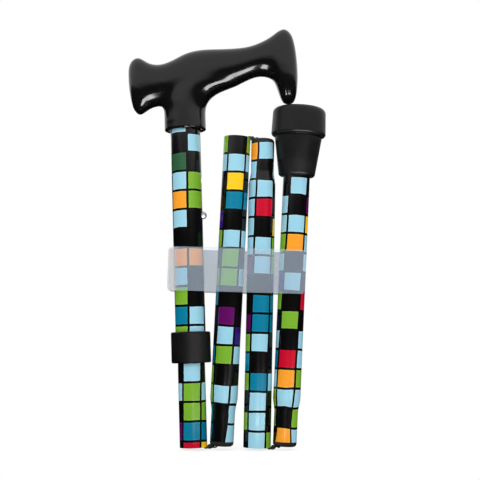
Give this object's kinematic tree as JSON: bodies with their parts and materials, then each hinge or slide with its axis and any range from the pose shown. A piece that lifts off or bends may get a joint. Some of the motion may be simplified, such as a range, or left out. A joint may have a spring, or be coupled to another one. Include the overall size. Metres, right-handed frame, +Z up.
{
  "type": "folding cane",
  "caption": "Folded walking cane: printed tube sections on an elastic cord, moulded derby handle, snap-button length setting, lock ring, rubber tip and storage clip.",
  "frame": {"origin": "on the surface that the folded cane stands on, at the middle of its width and depth", "axes": "+Z up along the folded bundle towards the handle, +X from the handle's nose to its horn, +Y away from the viewer, square to the bundle"},
  "size_m": [0.1407, 0.0386, 0.2975],
  "materials": {
    "handle_plastic": "glossy black moulded plastic",
    "printed_tube": "aluminium tube under a glossy printed film of coloured squares with black lines",
    "black_plastic": "matt black moulded plastic",
    "button_steel": "polished steel",
    "spring_steel": "plain spring steel",
    "clip_plastic": "milky translucent plastic",
    "elastic_cord": "black braided cover over rubber",
    "natural_plastic": "natural moulded plastic",
    "tip_rubber": "matt black moulded rubber"
  },
  "bodies": {
    "first_section": {"first_tube": "printed_tube", "snap_spring": "spring_steel", "cord_anchor_top": "natural_plastic", "cord_ferrule_top": "spring_steel", "cord_run_1": "elastic_cord"},
    "handle_section": {"handle": "handle_plastic", "upper_tube": "printed_tube", "collet_bush": "black_plastic"},
    "lock_ring": {"lock_ring": "black_plastic"},
    "snap_button": {"snap_button": "button_steel"},
    "storage_clip": {"storage_clip": "clip_plastic"},
    "cord_link_1": {"cord_bend_1": "elastic_cord"},
    "second_section": {"second_tube": "printed_tube", "end_plug_2": "black_plastic", "cord_run_2": "elastic_cord"},
    "cord_link_2": {"cord_bend_2": "elastic_cord"},
    "third_section": {"third_tube": "printed_tube", "end_plug_3": "black_plastic", "cord_run_3": "elastic_cord"},
    "cord_link_3": {"cord_bend_3": "elastic_cord"},
    "fourth_section": {"fourth_tube": "printed_tube", "end_plug_4": "black_plastic", "cord_run_4": "elastic_cord", "cord_anchor_tip": "natural_plastic", "cord_ferrule_tip": "spring_steel", "rubber_tip": "tip_rubber", "tip_washer": "spring_steel"}
  },
  "joints": [
    {"name": "height_slide", "type": "slide", "parent": "first_section", "child": "handle_section", "axis": [-0.0302, 0, 0.9995], "range_m": [0, 0.0508], "deforming": ["snap_button", "snap_spring"]},
    {"name": "ring_turn", "type": "hinge", "parent": "handle_section", "child": "lock_ring", "pos_m": [-0.0227, 0, 0.00179], "axis": [-0.0302, 0, 0.9995], "range_deg": [0, 180]},
    {"name": "button_press", "type": "slide", "parent": "first_section", "child": "snap_button", "axis": [-0.9995, 0, -0.0302], "range_m": [0, 0.0041], "stiffness_N_per_m": 900},
    {"name": "clip_slide", "type": "slide", "parent": "handle_section", "child": "storage_clip", "axis": [-0.9996, 0, 0.0279], "range_m": [0, 0.11]},
    {"name": "fold_1", "type": "hinge", "parent": "first_section", "child": "cord_link_1", "pos_m": [-0.01307, 0, 0.00248], "axis": [0, 1, 0], "range_deg": [0, 175.38], "deforming": ["cord_bend_1"]},
    {"name": "plug_1", "type": "slide", "parent": "cord_link_1", "child": "second_section", "axis": [-0.0504, 0, -0.9987], "range_m": [0, 0.0245]},
    {"name": "plug_2", "type": "slide", "parent": "second_section", "child": "cord_link_2", "axis": [-0.0504, 0, -0.9987], "range_m": [0, 0.0245]},
    {"name": "fold_2", "type": "hinge", "parent": "cord_link_2", "child": "third_section", "pos_m": [0.01662, 0, 0.21838], "axis": [0, 1, 0], "range_deg": [-178.33, 0], "deforming": ["cord_bend_2"]},
    {"name": "plug_3", "type": "slide", "parent": "third_section", "child": "cord_link_3", "axis": [0.0213, 0, 0.9998], "range_m": [0, 0.0245]},
    {"name": "fold_3", "type": "hinge", "parent": "cord_link_3", "child": "fourth_section", "pos_m": [0.03066, 0, 0.00203], "axis": [0, 1, 0], "range_deg": [0, 178.42], "deforming": ["cord_bend_3"]}
  ],
  "couplings": [
    {"joint": "fold_2", "follows": "fold_1", "ratio": -1.0168},
    {"joint": "fold_3", "follows": "fold_1", "ratio": 1.0173},
    {"joint": "plug_2", "follows": "plug_1", "ratio": 1},
    {"joint": "plug_3", "follows": "plug_1", "ratio": 1}
  ]
}
